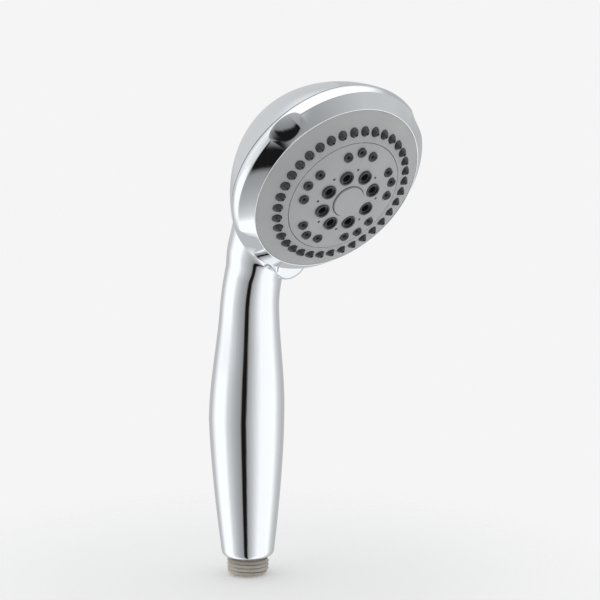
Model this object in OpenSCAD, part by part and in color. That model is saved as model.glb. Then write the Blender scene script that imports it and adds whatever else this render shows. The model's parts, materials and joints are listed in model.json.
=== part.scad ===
// Handheld shower head: a chromed handle and dome, with a selector ring that turns the spray face.
// Origin: centre of the inlet's end face. +Z runs up the handle, the spray faces -Y and downwards.
// Head pieces are drawn in the head's own frame: +Z along the spray axis, +Y towards 12 o'clock.

/* [Inlet] */
// Outside diameter of the hose thread
thread_d = 20.955; // [18:0.005:22]
// Pitch of the hose thread
thread_pitch = 1.814; // [1.2:0.001:2.2]
// Length of the hose thread below the handle
thread_len = 9.2; // [8:0.1:14]
// Diameter of the water bore in the inlet
inlet_bore_d = 13; // [11:0.1:14]

/* [Handle] */
// Height of the neck above the inlet's end face
handle_len = 178; // [145:1:215]
// Radius at the lower rim
rim_r = 13.2; // [12.8:0.1:16]
// Radius at the fullest part of the grip
grip_r = 19.3; // [16:0.1:24]
// Radius at the neck
neck_r = 14.8; // [14.4:0.1:18]
// Lean of the neck towards the front, in degrees
neck_lean = 18.8; // [16:0.1:21]
// Wall thickness of the chromed shells
wall = 2.4; // [1.8:0.1:2.9]

/* [Head] */
// Radius of the selector ring at its widest edge
ring_r = 49.9; // [41:0.1:60]
// Angle of the spray axis below the horizontal, in degrees
head_tilt = 31.7; // [28:0.1:36]
// Radius of the round boss where the neck meets the head
boss_r = 8.5; // [8:0.1:11]
// Depth of the finger scallops in the ring
scallop_depth = 2; // [0.5:0.1:2.6]

/* [Spray face] */
// Number of rubber nozzles in the outer row
outer_count = 36; // [12:1:40]
// Number of groups of three nozzles
group_count = 5; // [3:1:6]
// Number of massage jets
jet_count = 8; // [4:1:8]
// Radius of an outer nozzle at its root
nozzle_r = 2.2; // [1.6:0.05:2.5]
// Outside radius of a massage jet
jet_r = 3.55; // [2.8:0.05:4]
// Radius of the centre cap
cap_r = 8; // [7.8:0.1:8.6]
// Thickness of the spray plates
plate_t = 2.2; // [1.8:0.1:2.6]
// Thickness of the rubber mats
mat_t = 1.5; // [1.2:0.1:2]

/* [Selector] */
// Angle between two neighbouring spray settings, in degrees
setting_step = 36; // [24:1:36]
// Radius of the post that the spray face turns on
post_r = 4.5; // [3.8:0.1:5]

/* [Fits] */
// Radial clearance of a running fit
run_gap = 0.05; // [0.02:0.01:0.1]
// Clearance between pieces that stay together
seat_gap = 0.05; // [0.02:0.01:0.1]
// Gap between surfaces that move past each other
free_gap = 0.3; // [0.2:0.05:0.5]

/* [Hidden] */
$fn = 96;

chrome = "#d9dde0";
satin_grey = "#a0a3a3";
dark_rubber = "#4a4c4d";
inlet_grey = "#a79f95";
white_plastic = "#e4e4df";
steel = "#b9bcbe";

// Handle outline: a slow swell to the grip, a waist above it and a neck that bends forward
rim_z = thread_len;
rim_round = 1.7;
grip_z = 0.46 * handle_len;
waist_len = 0.37 * handle_len;
bend_z = handle_len - 41;
bend_len = 16;
upper_lean = 6.25 / (handle_len - grip_z);
neck_slope = tan(neck_lean);
neck_top_z = handle_len - 5;
saddle_foot_z = neck_top_z - 4.3;
function handle_r(z) = z < grip_z
    ? grip_r - (grip_r - rim_r) * pow((grip_z - z) / (grip_z - rim_z), 1.5)
    : neck_r + (grip_r - neck_r) * (1 + cos(180 * min(1, (z - grip_z) / waist_len))) / 2;
function bend_offset(z) = z < bend_z + bend_len ? pow(max(0, z - bend_z), 2) / (2 * bend_len)
    : z - bend_z - bend_len / 2;
function handle_f(z) = upper_lean * max(0, z - grip_z) + (neck_slope - upper_lean) * bend_offset(z);

// Spray face: part of a sphere, with every row set out from the plate's radius
plate_r = ring_r - 6.2;
face_r = 2.29 * plate_r;
face_top = -0.5;
outer_row = 0.79 * plate_r;
split_r = 0.675 * plate_r;
group_row = 0.57 * plate_r;
group_side_row = 0.541 * plate_r;
group_side_angle = 17;
jet_row = 0.3075 * plate_r;
mist_row = 0.38 * plate_r;
nozzle_h = 2.2;
nozzle_tip_r = 0.9;
nozzle_bore_r = 0.5;
group_nozzle_r = 2.3;
group_nozzle_h = 0.9;
group_bore_r = 0.65;
mist_r = 0.68;
jet_step_r = 0.75 * jet_r;
jet_bore_r = 0.56 * jet_r;
jet_proud = 0.75;
// Height of the surface that lies a given depth below the face, at radius r
function under_h(r, depth) = face_top - face_r + sqrt(pow(face_r - depth, 2) - r * r);
function face_h(r) = under_h(r, 0);

// Levels along the spray axis, from the cap's top at 0 backwards
edge_h = face_h(plate_r);
ridge_h = edge_h - 5.25;
part_h = ridge_h - 5.95;
part_r = ring_r + 0.3;
deck_h = edge_h - plate_t - mat_t - 1;
deck_t = 2;
diverter_h = deck_h - deck_t;
diverter_t = 3;
valve_h = diverter_h - diverter_t - free_gap;
valve_t = 4.5;
valve_back_h = valve_h - valve_t;
valve_r = plate_r + 0.8;
diverter_r = 0.84 * plate_r;

// Centre of the spray face, from the point where the neck meets the head
neck_v = -(ring_r + 4.2);
neck_h = part_h - 0.625 * ring_r;
head_y = -handle_f(handle_len) + sin(head_tilt) * neck_v + cos(head_tilt) * neck_h;
head_z = handle_len - cos(head_tilt) * neck_v + sin(head_tilt) * neck_h;
function row_y(v, h) = head_y - sin(head_tilt) * v - cos(head_tilt) * h;
function row_z(v, h) = head_z + cos(head_tilt) * v - sin(head_tilt) * h;

// Back dome: one long arc from the rim, then a rounder tip
dome_r = 1.6 * ring_r;
dome_a0 = 20.4;
dome_a1 = 51;
dome_tip_r = (part_r - dome_r * (cos(dome_a0) - cos(dome_a1))) / cos(dome_a1);
dome_h0 = part_h + dome_r * sin(dome_a0);
dome_tip_h = dome_h0 - (dome_r - dome_tip_r) * sin(dome_a1);
function dome_points(inset) = concat(
    [for (a = [dome_a0 : 2.55 : dome_a1]) let (r = dome_r - inset)
        [part_r - dome_r * cos(dome_a0) + r * cos(a), dome_h0 - r * sin(a)]],
    [for (a = [dome_a1 + 3 : 3 : 90]) let (r = dome_tip_r - inset)
        [r * cos(a), dome_tip_h - r * sin(a)]]);

// Boss under the ring
boss_v = -(ring_r + 3.4);
boss_front_h = part_h - free_gap;

// Valve, screws and detent on the valve body
seal_row = 0.46 * plate_r;
seal_bore_r = 5;
seal_depth = 12.5;
seal_feed_h = valve_h - 9.4;
port_r = 2.2;
screw_row = 0.92 * plate_r;
screw_count = 3;
screw_r = 1.5;
screw_head_r = 2.9;
screw_head_h = 2.1;
screw_len = 14;
post_wall_r = 3.4;
detent_row = 0.71 * plate_r;
detent_r = 2;
detent_groove = 1;
detent_len = 10;
detent_bore_depth = 12.5;

// Waterway: up the handle, round an elbow and along a leg into the valve body
leg_pitch = 60;
elbow_r = 36;
tube_r = 5.6;
tube_bore_r = 3.8;
plug_r = 6.4;
joint_lap = 1;
elbow_swell = 0.3;
socket_len = 10;
spigot_r = 8;
spigot_len = 16;
leg_end_y = row_y(-seal_row, seal_feed_h);
leg_end_z = row_z(-seal_row, seal_feed_h);
elbow_f = elbow_r * (1 - cos(leg_pitch));
leg_len = (-leg_end_y - elbow_f) / sin(leg_pitch);
elbow_z = leg_end_z - leg_len * cos(leg_pitch) - elbow_r * sin(leg_pitch);

// Inlet nipple
root_r = thread_d / 2 - 0.6403 * thread_pitch;
first_rib_z = 0.6;
rib_root = 0.6;
crest_start = 0.32 * thread_pitch;
crest_end = 0.6 * thread_pitch;
rib_end = 0.92 * thread_pitch;
shank_relief = 0.5;
nipple_r = thread_d / 2 - shank_relief;
nipple_seat_z = rim_z + 13;
nipple_neck_r = nipple_r - 1.08;
nipple_top_z = nipple_seat_z + 7;
filter_r = (inlet_bore_d / 2 + 1.3 * root_r) / 2.3;
filter_seat_z = 2.6;
filter_t = 1.2;
restrictor_z = 4;
restrictor_t = 4;
tube_foot_z = nipple_top_z - socket_len;
o_ring_r = 0.9;
groove_h = 2.2 * o_ring_r;
nipple_ring_r = 0.26 * (nipple_r - inlet_bore_d / 2);
nipple_groove_z = nipple_seat_z - 5;
tube_groove_z = tube_foot_z + 3;
tube_groove_r = plug_r - 2 * o_ring_r + 0.3;
small_ring_r = 0.7;
small_ring_row = plug_r - 0.75;
leg_stop = -spigot_len + socket_len - 0.5;
leg_groove = leg_stop - 5;

// Centre stack
cap_t = 1;
cap_skirt = 1.1;
cap_seat_h = -2.2;
washer_r = 5.9;
washer_t = 0.8;
washer_h = cap_seat_h - 1.8;
hub_r = post_r + 1.5;
hub_boss_r = jet_row - jet_r - 1;

module at_head() {
    translate([0, head_y, head_z])
        rotate([90 + head_tilt, 0, 0])
            children();
}

// Places children on a row of the spray face; angle 0 is 12 o'clock and angles run clockwise
module on_row(r, angle) {
    rotate([0, 0, -angle])
        translate([0, r, 0])
            children();
}

// Places children on every hole of the inner disc's groups of three
module on_groups() {
    for (k = [0 : group_count - 1]) {
        on_row(group_row, k * 360 / group_count) translate([0, 0, face_h(group_row)]) children();
        for (s = [-1, 1])
            on_row(group_side_row, k * 360 / group_count + s * group_side_angle)
                translate([0, 0, face_h(group_side_row)]) children();
    }
}

module on_jets() {
    for (k = [0 : jet_count - 1])
        on_row(jet_row, (k + 0.5) * 360 / jet_count) children();
}

module on_mist() {
    for (k = [0 : jet_count - 1])
        on_row(mist_row, k * 360 / jet_count) children();
}

module ring(r_in, r_out, h) {
    difference() {
        cylinder(r = r_out, h = h);
        translate([0, 0, -1]) cylinder(r = r_in, h = h + 2);
    }
}

module o_ring(r, thickness) {
    rotate_extrude() translate([r, 0]) circle(r = thickness, $fn = 32);
}

// A layer of the domed spray face between two radii, its outer surface a given depth below the face
module face_layer(r_in, r_out, depth, t) {
    difference() {
        intersection() {
            translate([0, 0, face_top - face_r]) sphere(r = face_r - depth, $fn = 180);
            translate([0, 0, -0.5 * face_r]) cylinder(r = r_out, h = face_r);
        }
        translate([0, 0, face_top - face_r]) sphere(r = face_r - depth - t, $fn = 180);
        translate([0, 0, -face_r]) cylinder(r = r_in, h = 2 * face_r);
    }
}

module dome_solid(inset) {
    rotate_extrude()
        polygon(concat([[0, part_h - free_gap]], [[part_r - inset, part_h - free_gap]],
            [for (p = dome_points(inset)) if (p[1] < part_h - free_gap) p]));
}

// Skin of the handle: level rings of the handle's radius along its centre line
module handle_skin() {
    steps = 30;
    sides = 48;
    foot = [for (a = [0 : 22.5 : 67.5]) [rim_z + rim_round * (1 - cos(a)), -rim_round * (1 - sin(a))]];
    rise = [for (i = [0 : steps]) [rim_z + rim_round + (neck_top_z - rim_z - rim_round) * i / steps, 0]];
    rings = concat(foot, rise);
    last = len(rings) - 1;
    points = [for (g = rings, k = [0 : sides - 1]) let (a = 360 * k / sides, r = handle_r(g[0]) + g[1])
        [r * cos(a), r * sin(a) - handle_f(g[0]), g[0]]];
    sidewalls = [for (i = [0 : last - 1], k = [0 : sides - 1])
        [i * sides + k, (i + 1) * sides + k, (i + 1) * sides + (k + 1) % sides, i * sides + (k + 1) % sides]];
    polyhedron(points, concat(sidewalls, [[for (k = [0 : sides - 1]) k]],
        [[for (k = [sides - 1 : -1 : 0]) last * sides + k]]), convexity = 4);
}

// Saddle that joins the neck and the boss to the back of the dome
module saddle(inset) {
    hull() {
        translate([0, -handle_f(saddle_foot_z), saddle_foot_z])
            cylinder(r = handle_r(saddle_foot_z) - 0.2 - 1.6 * inset, h = 0.4, $fn = 40);
        at_head() translate([0, 0, neck_h + 3])
            sphere(r = 0.29 * ring_r - inset, $fn = 32);
        at_head() translate([0, boss_v, boss_front_h - 12])
            cylinder(r = boss_r - 0.8 - inset, h = 0.4, $fn = 32);
    }
}

module leg(r, from, to) {
    translate([0, leg_end_y, leg_end_z])
        rotate([leg_pitch, 0, 0])
            translate([0, 0, from])
                cylinder(r = r, h = to - from);
}

module handle_shell() {
    cavity_z0 = nipple_seat_z + 4;
    cavity_z1 = bend_z + bend_len;
    neck_z0 = bend_z + 0.6 * bend_len;
    neck_cavity_r = (neck_r - wall) * cos(neck_lean);
    color(chrome)
    difference() {
        union() {
            handle_skin();
            saddle(0);
            at_head() translate([0, boss_v, neck_h + 8])
                cylinder(r = boss_r, h = boss_front_h - neck_h - 8);
        }
        at_head() dome_solid(-seat_gap);
        at_head() translate([0, 0, boss_front_h]) cylinder(r = part_r + 30, h = 60);
        saddle(wall);
        rotate_extrude() polygon(concat([[0, cavity_z0]],
            [for (i = [0 : 8]) let (z = cavity_z0 + (cavity_z1 - cavity_z0) * i / 8)
                [handle_r(z) - wall - handle_f(z), z]],
            [[0, cavity_z1]]));
        translate([0, -handle_f(neck_z0), neck_z0])
            rotate([neck_lean, 0, 0])
                cylinder(r = neck_cavity_r, h = (neck_top_z - neck_z0) / cos(neck_lean));
        at_head() translate([0, boss_v, neck_h + 8])
            cylinder(r = boss_r - wall, h = boss_front_h - neck_h - 8 - wall);
        leg(tube_r + 1, -leg_len - 2, 0);
        translate([0, 0, rim_z - 1]) cylinder(r = nipple_r + seat_gap, h = nipple_seat_z - rim_z + 1);
        translate([0, 0, rim_z]) cylinder(r = nipple_neck_r + seat_gap, h = cavity_z0 - rim_z + 1);
    }
}

module back_shell() {
    color(chrome)
    difference() {
        at_head() union() {
            difference() {
                dome_solid(0);
                translate([0, 0, 1]) dome_solid(wall);
            }
            intersection() {
                dome_solid(0.5);
                for (k = [0 : screw_count - 1])
                    on_row(screw_row, k * 360 / screw_count)
                        translate([0, 0, valve_back_h - 40]) cylinder(r = post_wall_r, h = 40);
            }
        }
        at_head()
            for (k = [0 : screw_count - 1])
                on_row(screw_row, k * 360 / screw_count)
                    translate([0, 0, valve_back_h - screw_len + valve_t])
                        cylinder(r = screw_r, h = screw_len);
        leg(tube_r + 1, -leg_len, -spigot_len);
    }
}

// Male inlet thread, drawn as parallel ribs with flat crests
module inlet_nipple() {
    turns = floor((thread_len - 1) / thread_pitch);
    color(inlet_grey)
    difference() {
        union() {
            cylinder(r1 = root_r - 0.4, r2 = root_r, h = 0.5);
            translate([0, 0, 0.5]) cylinder(r = root_r, h = thread_len);
            for (i = [0 : turns - 1])
                translate([0, 0, first_rib_z + i * thread_pitch]) rotate_extrude()
                    polygon([[root_r - rib_root, 0], [root_r, 0], [thread_d / 2, crest_start],
                        [thread_d / 2, crest_end], [root_r, rib_end], [root_r - rib_root, rib_end]]);
            translate([0, 0, thread_len]) cylinder(r = nipple_r, h = nipple_seat_z - thread_len);
            translate([0, 0, nipple_seat_z]) cylinder(r = nipple_neck_r, h = nipple_top_z - nipple_seat_z);
        }
        translate([0, 0, -1]) cylinder(r = inlet_bore_d / 2, h = tube_foot_z + 1);
        translate([0, 0, tube_foot_z - 0.5]) cylinder(r = plug_r + seat_gap, h = socket_len + 2);
        translate([0, 0, -1]) cylinder(r = filter_r, h = filter_seat_z + 1);
        translate([0, 0, nipple_groove_z]) ring(nipple_r - 2 * nipple_ring_r, nipple_r + 1, groove_h);
    }
}

module filter_screen() {
    color(steel)
    translate([0, 0, filter_seat_z - filter_t]) {
        ring(inlet_bore_d / 2 - 0.8, filter_r - seat_gap, filter_t);
        difference() {
            cylinder(r = inlet_bore_d / 2 - 0.8, h = 0.4);
            for (row = [1 : 3], k = [0 : 6 * row - 1])
                rotate([0, 0, k * 60 / row]) translate([row * inlet_bore_d / 8, 0, -1])
                    cylinder(r = 0.5, h = 3, $fn = 16);
        }
    }
}

module flow_restrictor() {
    color(white_plastic)
    translate([0, 0, restrictor_z])
    difference() {
        cylinder(r = inlet_bore_d / 2 - seat_gap, h = restrictor_t);
        translate([0, 0, 2]) cylinder(r = inlet_bore_d / 2 - 1.6, h = restrictor_t);
        for (k = [0 : 5])
            rotate([0, 0, 60 * k]) translate([3, 0, -1]) cylinder(r = 0.8, h = restrictor_t + 2, $fn = 24);
    }
}

module inlet_o_ring() {
    color(dark_rubber)
    translate([0, 0, nipple_groove_z + groove_h / 2])
        o_ring(nipple_r - nipple_ring_r, nipple_ring_r - seat_gap);
}

// Water pipe with a plug at each end: straight up the handle, an elbow and the leg to the valve body
module waterway_tube() {
    color(white_plastic)
    difference() {
        union() {
            translate([0, 0, tube_foot_z]) cylinder(r = plug_r, h = socket_len);
            translate([0, 0, tube_foot_z]) cylinder(r = tube_r, h = elbow_z - tube_foot_z + joint_lap);
            translate([0, -elbow_r, elbow_z]) rotate([90, 0, 90]) rotate_extrude(angle = leg_pitch)
                translate([elbow_r, 0]) circle(r = tube_r + elbow_swell);
            leg(tube_r, -leg_len - joint_lap, leg_stop);
            leg(plug_r, -spigot_len, leg_stop);
        }
        translate([0, 0, tube_foot_z - 1])
            cylinder(r = tube_bore_r, h = elbow_z - tube_foot_z + 1 + joint_lap);
        translate([0, -elbow_r, elbow_z]) rotate([90, 0, 90]) rotate_extrude(angle = leg_pitch)
            translate([elbow_r, 0]) circle(r = tube_bore_r - elbow_swell);
        leg(tube_bore_r, -leg_len - joint_lap, leg_stop + 1);
        translate([0, 0, tube_groove_z]) ring(tube_groove_r, plug_r + 1, groove_h);
        translate([0, leg_end_y, leg_end_z]) rotate([leg_pitch, 0, 0])
            translate([0, 0, leg_groove]) ring(tube_groove_r, plug_r + 1, groove_h);
    }
}

module lower_o_ring() {
    color(dark_rubber)
    translate([0, 0, tube_groove_z + groove_h / 2]) o_ring(small_ring_row, small_ring_r);
}

module upper_o_ring() {
    color(dark_rubber)
    translate([0, leg_end_y, leg_end_z]) rotate([leg_pitch, 0, 0])
        translate([0, 0, leg_groove + groove_h / 2]) o_ring(small_ring_row, small_ring_r);
}

// Fixed body behind the spray face: flange, post, seal chamber, detent bore and water socket
module valve_body() {
    color(white_plastic)
    difference() {
        union() {
            at_head() {
                translate([0, 0, valve_back_h]) cylinder(r = valve_r, h = valve_t);
                translate([0, 0, valve_h - 1]) cylinder(r = post_r, h = washer_h - 0.1 - valve_h + 1);
                translate([0, -seal_row, valve_h - seal_depth - 3])
                    cylinder(r = spigot_r, h = seal_depth + 2);
                on_row(detent_row, 0) translate([0, 0, valve_h - detent_bore_depth - 2])
                    cylinder(r = detent_r + 2.2, h = detent_bore_depth + 1);
            }
            leg(spigot_r, -spigot_len, 0);
        }
        at_head() {
            translate([0, -seal_row, valve_h - seal_depth]) cylinder(r = seal_bore_r, h = seal_depth + 1);
            on_row(detent_row, 0) translate([0, 0, valve_h - detent_bore_depth])
                cylinder(r = detent_r + run_gap, h = detent_bore_depth + 1);
            for (k = [0 : screw_count - 1])
                on_row(screw_row, k * 360 / screw_count)
                    translate([0, 0, valve_back_h - 1]) cylinder(r = screw_r + seat_gap, h = valve_t + 2);
            translate([0, 0, washer_h - 0.1 - screw_len]) cylinder(r = screw_r, h = screw_len + 1);
            translate([0, 0, diverter_h - 0.5 * diverter_t - o_ring_r])
                ring(post_r - 1.8 * o_ring_r, post_r + 1, 2 * o_ring_r);
        }
        leg(plug_r + seat_gap, -spigot_len - 1, -spigot_len + socket_len);
        leg(tube_bore_r, -spigot_len, 0);
    }
}

module hub_o_ring() {
    color(dark_rubber)
    at_head() translate([0, 0, diverter_h - 0.5 * diverter_t]) o_ring(post_r - o_ring_r, small_ring_r);
}

module valve_seal() {
    color(dark_rubber)
    at_head() translate([0, -seal_row, valve_h - 4]) difference() {
        cylinder(r = seal_bore_r - seat_gap, h = 4 + free_gap - 0.05);
        translate([0, 0, -1]) cylinder(r = port_r + 0.4, h = 9);
        translate([0, 0, -1]) cylinder(r = seal_bore_r - 1.2, h = 3);
    }
}

module seal_spring() {
    color(steel)
    at_head() translate([0, -seal_row, valve_h - seal_depth])
        ring(seal_bore_r - 1.2, seal_bore_r - 0.3, seal_depth - 4);
}

module screw(r, head_r, head_h, length) {
    difference() {
        union() {
            cylinder(r = head_r, h = head_h);
            translate([0, 0, -length]) cylinder(r = r - 0.02, h = length + 0.1);
        }
        for (a = [0, 90])
            rotate([0, 0, a]) translate([-head_r * 0.55, -0.35, head_h - 0.9])
                cube([head_r * 1.1, 0.7, 2]);
    }
}

module body_screws() {
    color(steel)
    at_head()
        for (k = [0 : screw_count - 1])
            on_row(screw_row, k * 360 / screw_count)
                translate([0, 0, valve_h]) screw(screw_r, screw_head_r, screw_head_h, screw_len - 1);
}

module centre_screw() {
    color(steel)
    at_head() translate([0, 0, washer_h + washer_t]) screw(screw_r, 3.4, 1.6, screw_len - 2);
}

module centre_washer() {
    color(steel)
    at_head() translate([0, 0, washer_h]) ring(screw_r + 0.1, washer_r, washer_t);
}

module detent_spring() {
    color(steel)
    at_head() on_row(detent_row, 0) translate([0, 0, valve_h - detent_bore_depth])
        ring(detent_r - 0.8, detent_r - 0.1, detent_bore_depth - detent_len + 0.2);
}

module detent_plunger() {
    nose_h = diverter_h - diverter_t + detent_groove - free_gap - detent_r;
    color(steel)
    at_head() on_row(detent_row, 0) {
        translate([0, 0, nose_h]) sphere(r = detent_r);
        translate([0, 0, valve_h - detent_len + 0.3])
            cylinder(r = detent_r, h = nose_h - valve_h + detent_len - 0.3);
    }
}

// Ring with a slanted front face, a rounded band and four finger scallops
module selector_ring() {
    cut_r = 40;
    cut_tilt = 30;
    grip_angle = 50;
    band_mid = (ridge_h + part_h) / 2;
    color(chrome)
    at_head() difference() {
        rotate_extrude() polygon(concat(
            [[plate_r, edge_h + 0.25], [plate_r + 0.7, edge_h + 0.25], [plate_r + 0.9, edge_h]],
            [[ring_r - 0.25, ridge_h + 0.25], [ring_r, ridge_h]],
            [for (t = [-0.75 : 0.25 : 0.75])
                [ring_r + 0.15 - 0.15 * t + 0.7 * cos(90 * t), band_mid - t * (part_h - ridge_h) / -2]],
            [[part_r, part_h], [valve_r + 2, part_h], [valve_r + 2, diverter_h - 0.5],
                [plate_r, diverter_h + 0.5]]));
        for (a = [grip_angle, 180 - grip_angle, 180 + grip_angle, -grip_angle])
            on_row(ring_r - scallop_depth, a) translate([0, 0, ridge_h]) rotate([cut_tilt, 0, 0])
                translate([0, cut_r, 0]) cylinder(r = cut_r, h = 60, center = true);
    }
}

module face_plate() {
    skirt = 1.2;
    color(satin_grey)
    at_head() difference() {
        union() {
            face_layer(split_r + 0.15, plate_r - seat_gap, 0, plate_t);
            translate([0, 0, deck_h])
                ring(plate_r - seat_gap - skirt, plate_r - seat_gap, edge_h - 1 - deck_h);
        }
        for (k = [0 : outer_count - 1])
            on_row(outer_row, k * 360 / outer_count) translate([0, 0, deck_h])
                cylinder(r = nozzle_r + 0.1, h = 40, $fn = 32);
    }
}

module inner_disc() {
    color(satin_grey)
    at_head() difference() {
        union() {
            face_layer(post_r + run_gap, split_r - 0.15, 0, plate_t);
            translate([0, 0, washer_h - 1.6])
                cylinder(r = hub_boss_r, h = face_h(hub_boss_r) - 0.4 - washer_h + 1.6);
        }
        translate([0, 0, cap_seat_h]) cylinder(r = cap_r + seat_gap, h = 10);
        translate([0, 0, washer_h - 0.1]) cylinder(r = washer_r + 0.2, h = 10);
        translate([0, 0, -30]) cylinder(r = post_r + run_gap, h = 40);
        on_groups() translate([0, 0, -plate_t - 5]) cylinder(r = group_nozzle_r + 0.1, h = 20, $fn = 32);
        on_jets() translate([0, 0, -30]) cylinder(r = jet_r + seat_gap, h = 40);
        on_mist() translate([0, 0, -30]) cylinder(r = mist_r, h = 40, $fn = 32);
    }
}

module centre_cap() {
    color(satin_grey)
    at_head() {
        translate([0, 0, -cap_t]) cylinder(r1 = cap_r, r2 = cap_r - 0.2, h = cap_t);
        translate([0, 0, cap_seat_h]) ring(cap_r - cap_skirt, cap_r, -cap_seat_h - cap_t);
    }
}

// A cone nozzle on a root that fills the plate's hole; 0 is the plate's outer surface
module cone_nozzle() {
    translate([0, 0, -plate_t - 0.8]) cylinder(r = nozzle_r, h = plate_t + 0.8, $fn = 32);
    cylinder(r1 = nozzle_r, r2 = nozzle_tip_r, h = nozzle_h, $fn = 32);
}

module outer_nozzle_mat() {
    color(dark_rubber)
    at_head() difference() {
        union() {
            face_layer(split_r + 1, plate_r - 2, plate_t, mat_t);
            for (k = [0 : outer_count - 1])
                on_row(outer_row, k * 360 / outer_count) translate([0, 0, face_h(outer_row)]) cone_nozzle();
        }
        for (k = [0 : outer_count - 1])
            on_row(outer_row, k * 360 / outer_count) translate([0, 0, deck_h])
                cylinder(r = nozzle_bore_r, h = 40, $fn = 24);
    }
}

module inner_nozzle_mat() {
    color(dark_rubber)
    at_head() difference() {
        union() {
            face_layer(mist_row + 2.3, split_r - 1, plate_t, mat_t);
            on_groups() translate([0, 0, -plate_t - 0.8])
                cylinder(r = group_nozzle_r, h = plate_t + 0.8 + group_nozzle_h, $fn = 32);
        }
        on_groups() translate([0, 0, -12]) cylinder(r = group_bore_r, h = 20, $fn = 24);
        on_groups() translate([0, 0, group_nozzle_h - 0.5])
            cylinder(r1 = group_bore_r, r2 = group_nozzle_r - 0.5, h = 1, $fn = 32);
    }
}

// Stepped massage jets, each with a flange behind the inner disc
module massage_jets() {
    top = face_h(jet_row) + jet_proud;
    flange_h = under_h(jet_row + jet_r + 0.5, plate_t) - 0.8;
    color(dark_rubber)
    at_head() on_jets() difference() {
        union() {
            translate([0, 0, flange_h]) cylinder(r = jet_r, h = top - flange_h);
            translate([0, 0, flange_h]) cylinder(r = jet_r + 0.5, h = 0.8);
        }
        translate([0, 0, flange_h - 5]) cylinder(r = jet_bore_r, h = 20);
        translate([0, 0, top - 1]) cylinder(r = jet_step_r, h = 2);
    }
}

// Deck with ring walls that split the space behind the spray face into chambers
module chamber_plate() {
    inner_wall = mist_row + 2.3;
    color(white_plastic)
    at_head() difference() {
        union() {
            translate([0, 0, deck_h - deck_t]) cylinder(r = plate_r - seat_gap, h = deck_t);
            intersection() {
                translate([0, 0, deck_h - 0.5]) union() {
                    ring(plate_r - 3.4, plate_r - 2.2, 30);
                    ring(split_r - 1, split_r + 1, 30);
                    ring(inner_wall, inner_wall + 1.2, 30);
                }
                translate([0, 0, face_top - face_r])
                    sphere(r = face_r - plate_t - mat_t - 2 * seat_gap, $fn = 180);
            }
            translate([0, 0, deck_h - 0.5]) cylinder(r = hub_r, h = washer_h - 1.7 - deck_h + 0.5);
            on_mist() translate([0, 0, deck_h - 0.5])
                cylinder(r = mist_r + 0.8, h = under_h(mist_row + 1.5, plate_t) - deck_h + 0.5, $fn = 32);
        }
        translate([0, 0, -60]) cylinder(r = post_r + run_gap, h = 70);
        on_mist() translate([0, 0, -60]) cylinder(r = mist_r, h = 70, $fn = 32);
        for (k = [-1, 1]) {
            on_row(outer_row, 180 + k * setting_step) translate([0, 0, -60]) cylinder(r = port_r, h = 70);
            on_row(group_row, 180 + 2 * k * setting_step) translate([0, 0, -60]) cylinder(r = port_r, h = 70);
        }
        for (k = [0 : 5]) on_row(hub_r + 3, 60 * k) translate([0, 0, -60]) cylinder(r = 1.2, h = 70);
    }
}

// Disc that brings one port after another in front of the valve seal, with the detent dimples
module diverter_disc() {
    back = diverter_h - diverter_t;
    channel = 1.2;
    color(white_plastic)
    at_head() difference() {
        translate([0, 0, back]) cylinder(r = diverter_r, h = diverter_t);
        translate([0, 0, back - 1]) cylinder(r = post_r + run_gap, h = diverter_t + 2);
        for (k = [-2 : 2])
            on_row(seal_row, 180 + k * setting_step) translate([0, 0, back - 1])
                cylinder(r = port_r, h = diverter_t + 2);
        for (k = [-1, 1]) rotate([0, 0, -180 - k * setting_step])
            translate([-port_r, seal_row, diverter_h - channel]) cube([2 * port_r, outer_row - seal_row, 2]);
        for (k = [-2, 2]) rotate([0, 0, -180 - k * setting_step])
            translate([-port_r, seal_row, diverter_h - channel]) cube([2 * port_r, group_row - seal_row, 2]);
        rotate([0, 0, 180]) translate([-port_r, hub_r, diverter_h - channel])
            cube([2 * port_r, seal_row - hub_r, 2]);
        translate([0, 0, diverter_h - channel]) ring(hub_r + 1.5, hub_r + 4.5, 2);
        translate([0, 0, back - 1]) ring(detent_row - detent_r - 0.3, detent_row + detent_r + 0.3,
            1 + detent_groove);
        for (k = [-2 : 2])
            on_row(detent_row, k * setting_step) translate([0, 0, back + detent_groove - 1.4])
                sphere(r = detent_r);
    }
}

// Fixed ring with slanted slots that set the turbine spinning
module turbine_guide() {
    color(white_plastic)
    at_head() translate([0, 0, deck_h]) difference() {
        ring(hub_r + seat_gap, mist_row - 1.8, 1.5);
        for (k = [0 : 5])
            on_row(hub_r + 3, 60 * k) rotate([0, 40, 0])
                translate([0, 0, -4]) cylinder(r = 0.9, h = 12, $fn = 24);
    }
}

// Free-running turbine: a hub, ten vanes and a half disc that shutters the massage jets
module turbine() {
    low = deck_h + 1.5 + free_gap + 0.1;
    high = under_h(jet_row + jet_r + 0.5, plate_t) - 0.8 - 2 * free_gap;
    outer = mist_row - 1.9;
    color("#5f7f8c")
    at_head() {
        translate([0, 0, low]) ring(hub_r + run_gap, hub_r + 1.6, high - low);
        for (k = [0 : 9])
            rotate([0, 0, 36 * k]) translate([hub_r + 1.2, -0.4, low])
                cube([outer - hub_r - 1.6, 0.8, high - low - 0.2]);
        translate([0, 0, high - 0.9]) difference() {
            ring(hub_r + 0.8, outer, 0.8);
            rotate([0, 0, 9]) translate([-outer - 1, -outer - 1, -1]) cube([2 * outer + 2, outer + 1, 3]);
        }
    }
}

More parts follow.
